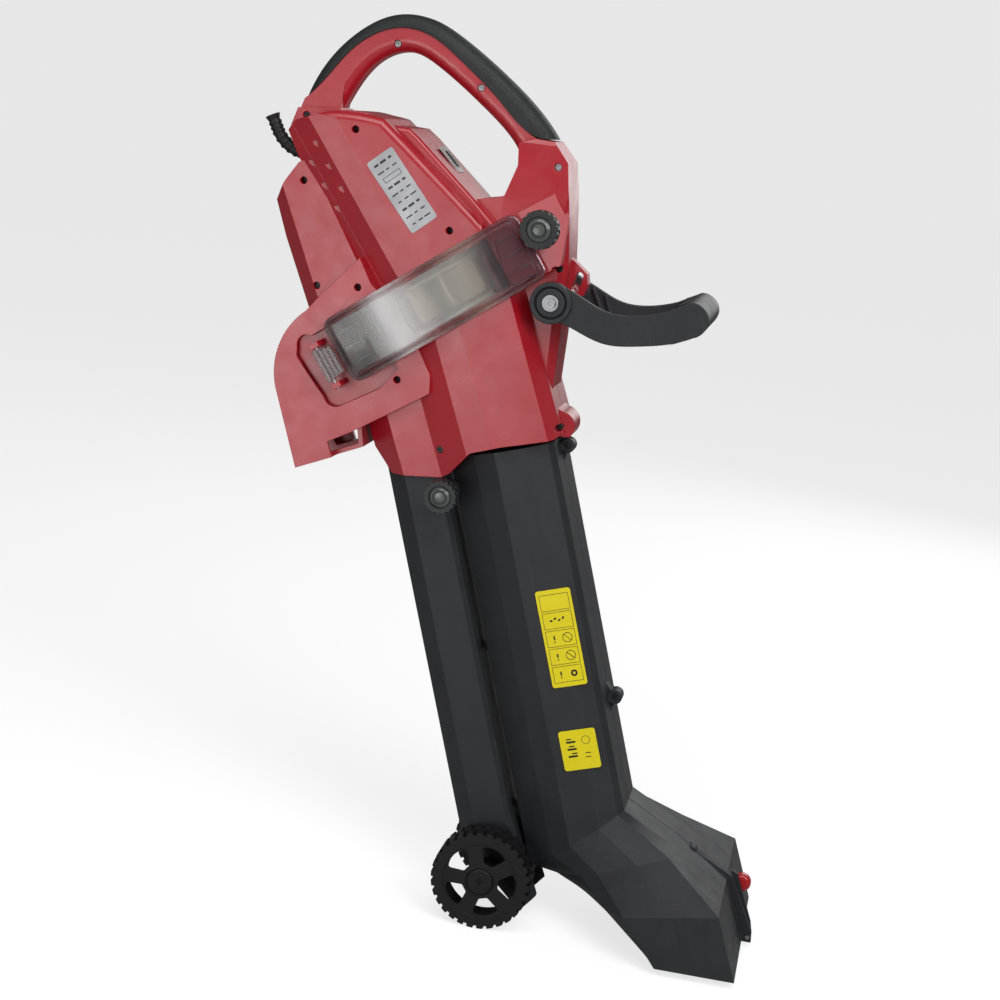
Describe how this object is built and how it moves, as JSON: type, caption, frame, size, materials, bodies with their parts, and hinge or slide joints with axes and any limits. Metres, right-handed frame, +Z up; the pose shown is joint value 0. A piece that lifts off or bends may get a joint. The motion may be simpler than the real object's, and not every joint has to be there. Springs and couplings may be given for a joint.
{
  "type": "leaf blower",
  "caption": "Electric three-in-one leaf blower, vacuum and shredder with carrying loop, front handle, wheeled tubes, wide nozzle and translucent cleaning cover.",
  "frame": {"origin": "under the middle of the object, at floor level below the wheels", "axes": "+X from the wheels towards the nozzle, +Y across towards the side without the cleaning cover, +Z up"},
  "size_m": [0.6311, 0.25, 0.9526],
  "materials": {
    "red_plastic": "semi-gloss moulded, light spark texture",
    "black_plastic": "matt moulded",
    "knob_plastic": "satin moulded",
    "grip_rubber": "soft, pebbled",
    "boot_rubber": "matt",
    "wheel_plastic": "matt moulded",
    "clear_cover": "frosted translucent polycarbonate",
    "clear_frame": "clear moulded",
    "steel": "zinc plated",
    "lamination": "stacked electrical steel",
    "copper": "enamelled copper wire",
    "carbon": "pressed carbon",
    "brush_brass": "stamped",
    "fan_plastic": "moulded, natural colour",
    "impeller_alloy": "as cast",
    "lever_red": "gloss",
    "label_yellow": null,
    "plate_silver": null,
    "electric_body": "moulded",
    "electric_yellow": "potted",
    "rocker_green": "gloss"
  },
  "bodies": {
    "frame": {"housing_left": "red_plastic", "housing_right": "red_plastic", "handle_grip": "grip_rubber", "suction_tube_left": "black_plastic", "suction_tube_right": "black_plastic", "blower_tube_left": "black_plastic", "blower_tube_right": "black_plastic", "wheel_axle": "steel", "axle_clips": "steel", "motor_stator": "lamination", "field_coils": "copper", "lower_bearing": "steel", "upper_bearing": "steel", "motor_bracket": "electric_body", "top_bearing_cap": "electric_body", "brush_holders": "brush_brass", "carbon_brushes": "carbon", "chamber_deck": "electric_body", "cover_hinge_pin": "steel", "handle_bolt_left": "steel", "handle_bolt_right": "steel", "handle_washer_left": "steel", "handle_washer_right": "steel", "switch_body": "electric_body", "switch_frame": "clear_frame", "cord_boot": "boot_rubber", "cord_clamp": "electric_body", "terminal_block": "electric_body", "capacitor": "electric_yellow", "lever_pin": "steel", "rating_plate": "plate_silver", "long_label": "label_yellow", "square_label": "label_yellow", "housing_screws": "steel", "loop_screws": "steel", "tube_screws": "steel"},
    "rotor": {"motor_shaft": "steel", "armature_core": "lamination", "armature_windings": "copper", "commutator": "copper", "cooling_fan": "fan_plastic", "impeller": "impeller_alloy", "shredder_blade": "steel", "impeller_nut": "steel"},
    "wheel_left": {"wheel_left": "wheel_plastic", "hub_cap_left": "wheel_plastic"},
    "wheel_right": {"wheel_right": "wheel_plastic", "hub_cap_right": "wheel_plastic"},
    "front_handle": {"front_handle": "black_plastic"},
    "cover": {"cleaning_cover": "clear_cover"},
    "cover_knob": {"cover_knob": "knob_plastic"},
    "tube_knob": {"tube_knob": "knob_plastic"},
    "switch_rocker": {"switch_rocker": "rocker_green"},
    "nozzle_lever": {"nozzle_lever": "black_plastic", "lever_knob": "lever_red"}
  },
  "joints": [
    {"name": "motor_spin", "type": "hinge", "parent": "frame", "child": "rotor", "pos_m": [-0.1005, 0, 0.67], "axis": [-0.5878, 0, 0.809], "continuous": true},
    {"name": "wheel_left_roll", "type": "hinge", "parent": "frame", "child": "wheel_left", "pos_m": [0.0215, -0.067, 0.054], "axis": [0, 1, 0], "continuous": true},
    {"name": "wheel_right_roll", "type": "hinge", "parent": "frame", "child": "wheel_right", "pos_m": [0.0215, 0.067, 0.054], "axis": [0, 1, 0], "continuous": true},
    {"name": "front_handle_tilt", "type": "hinge", "parent": "frame", "child": "front_handle", "pos_m": [0.0235, 0, 0.679], "axis": [0, 1, 0], "range_deg": [-55, 55]},
    {"name": "cover_open", "type": "hinge", "parent": "frame", "child": "cover", "pos_m": [-0.21134, -0.066, 0.58947], "axis": [0.5878, 0, -0.809], "range_deg": [0, 100]},
    {"name": "cover_knob_turn", "type": "hinge", "parent": "cover", "child": "cover_knob", "pos_m": [0.00637, -0.08, 0.75259], "axis": [0, 1, 0], "continuous": true},
    {"name": "tube_knob_turn", "type": "hinge", "parent": "frame", "child": "tube_knob", "pos_m": [-0.0685, -0.07, 0.463], "axis": [0, 1, 0], "continuous": true},
    {"name": "switch_rock", "type": "hinge", "parent": "frame", "child": "switch_rocker", "pos_m": [-0.11391, 0, 0.80459], "axis": [0, 1, 0], "range_deg": [-7, 7]},
    {"name": "nozzle_lever_swing", "type": "hinge", "parent": "frame", "child": "nozzle_lever", "pos_m": [0.311, 0.0077, 0.012], "axis": [0, 1, 0], "range_deg": [0, 35]}
  ]
}
